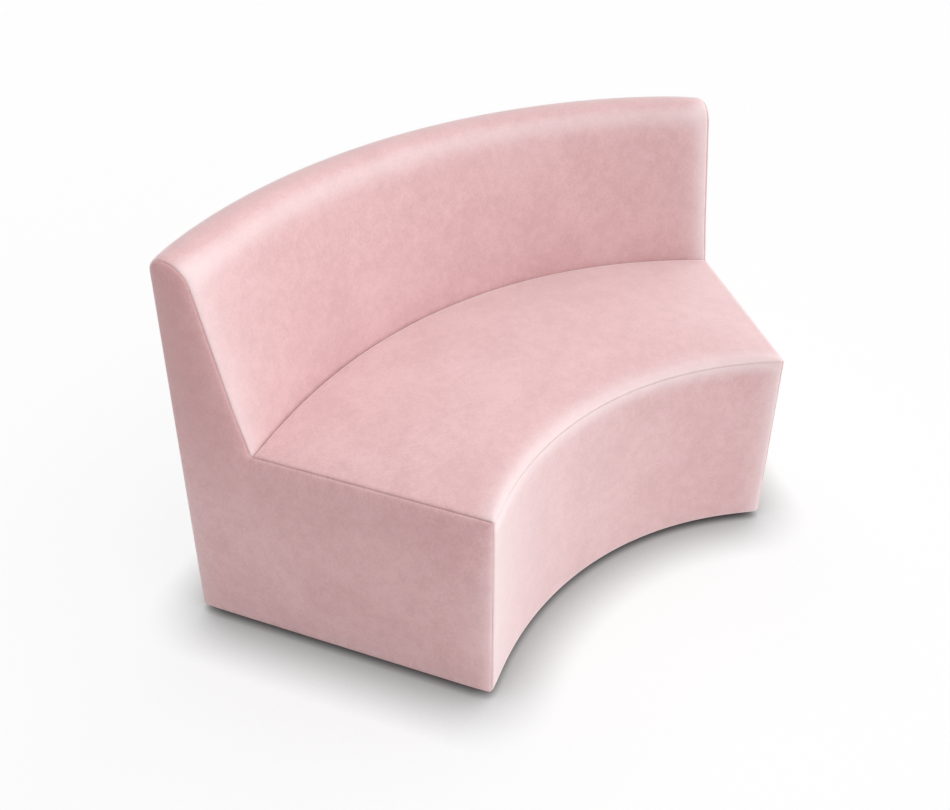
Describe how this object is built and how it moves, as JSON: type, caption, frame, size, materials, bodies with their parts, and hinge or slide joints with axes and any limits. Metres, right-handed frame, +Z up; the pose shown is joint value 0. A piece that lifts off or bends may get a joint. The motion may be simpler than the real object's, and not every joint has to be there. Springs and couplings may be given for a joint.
{
  "type": "curved sofa module",
  "caption": "Curved armless sofa module in pink velvet, a ring sector with a raked back, that stands on levelling glides and links end to end with like modules.",
  "frame": {"origin": "on the floor, under the middle of the module's box", "axes": "+X to the right end as a viewer in front sees it, -Y out of the concave front, +Z up"},
  "size_m": [1.521, 0.8032, 0.882],
  "materials": {
    "velvet": "blush pink velvet with a soft nap",
    "dust_cloth": "black non-woven dust cloth",
    "foam": "cream polyurethane foam",
    "wadding": "white polyester wadding",
    "webbing": "black woven elastic webbing",
    "ply": "bare birch plywood",
    "pine": "bare pine",
    "nylon": "black moulded nylon",
    "steel": "zinc plated"
  },
  "bodies": {
    "root": {"front_cover": "velvet", "seat_cover": "velvet", "inner_back_cover": "velvet", "outer_back_cover": "velvet", "left_end_cover": "velvet", "right_end_cover": "velvet", "dust_cover": "dust_cloth", "seat_foam": "foam", "back_foam": "foam", "front_foam": "foam", "left_end_foam": "foam", "right_end_foam": "foam", "outer_back_wadding": "wadding", "seat_web_1": "webbing", "seat_web_2": "webbing", "seat_web_3": "webbing", "seat_web_4": "webbing", "seat_web_5": "webbing", "seat_web_6": "webbing", "seat_web_7": "webbing", "left_rib": "ply", "right_rib": "ply", "left_end_frame": "ply", "right_end_frame": "ply", "front_panel": "ply", "seat_front_rail": "ply", "seat_rear_rail": "ply", "inner_back_panel": "ply", "outer_back_panel": "ply", "back_top_rail": "ply", "base_front_rail": "ply", "base_rear_rail": "ply", "base_left_rail": "ply", "base_right_rail": "ply", "left_front_block": "pine", "left_rear_block": "pine", "right_front_block": "pine", "right_rear_block": "pine", "glide_nut_front_left": "steel", "glide_nut_front_middle": "steel", "glide_nut_front_right": "steel", "glide_nut_rear_left": "steel", "glide_nut_rear_middle": "steel", "glide_nut_rear_right": "steel", "link_bolt_front": "steel", "link_bolt_rear": "steel", "link_stud_front": "steel", "link_stud_rear": "steel"},
    "glide_front_left": {"glide_front_left": "nylon"},
    "glide_front_middle": {"glide_front_middle": "nylon"},
    "glide_front_right": {"glide_front_right": "nylon"},
    "glide_rear_left": {"glide_rear_left": "nylon"},
    "glide_rear_middle": {"glide_rear_middle": "nylon"},
    "glide_rear_right": {"glide_rear_right": "nylon"},
    "link_front": {"link_front": "steel"},
    "link_rear": {"link_rear": "steel"}
  },
  "joints": [
    {"name": "level_front_left", "type": "slide", "parent": "root", "child": "glide_front_left", "axis": [0, 0, -1], "range_m": [0, 0.01]},
    {"name": "level_front_middle", "type": "slide", "parent": "root", "child": "glide_front_middle", "axis": [0, 0, -1], "range_m": [0, 0.01]},
    {"name": "level_front_right", "type": "slide", "parent": "root", "child": "glide_front_right", "axis": [0, 0, -1], "range_m": [0, 0.01]},
    {"name": "level_rear_left", "type": "slide", "parent": "root", "child": "glide_rear_left", "axis": [0, 0, -1], "range_m": [0, 0.01]},
    {"name": "level_rear_middle", "type": "slide", "parent": "root", "child": "glide_rear_middle", "axis": [0, 0, -1], "range_m": [0, 0.01]},
    {"name": "level_rear_right", "type": "slide", "parent": "root", "child": "glide_rear_right", "axis": [0, 0, -1], "range_m": [0, 0.01]},
    {"name": "swing_front_link", "type": "hinge", "parent": "root", "child": "link_front", "pos_m": [0.48179, -0.21771, 0.0112], "axis": [0, 0, -1], "range_deg": [0, 90]},
    {"name": "swing_rear_link", "type": "hinge", "parent": "root", "child": "link_rear", "pos_m": [0.60179, -0.00987, 0.0112], "axis": [0, 0, -1], "range_deg": [0, 90]}
  ]
}
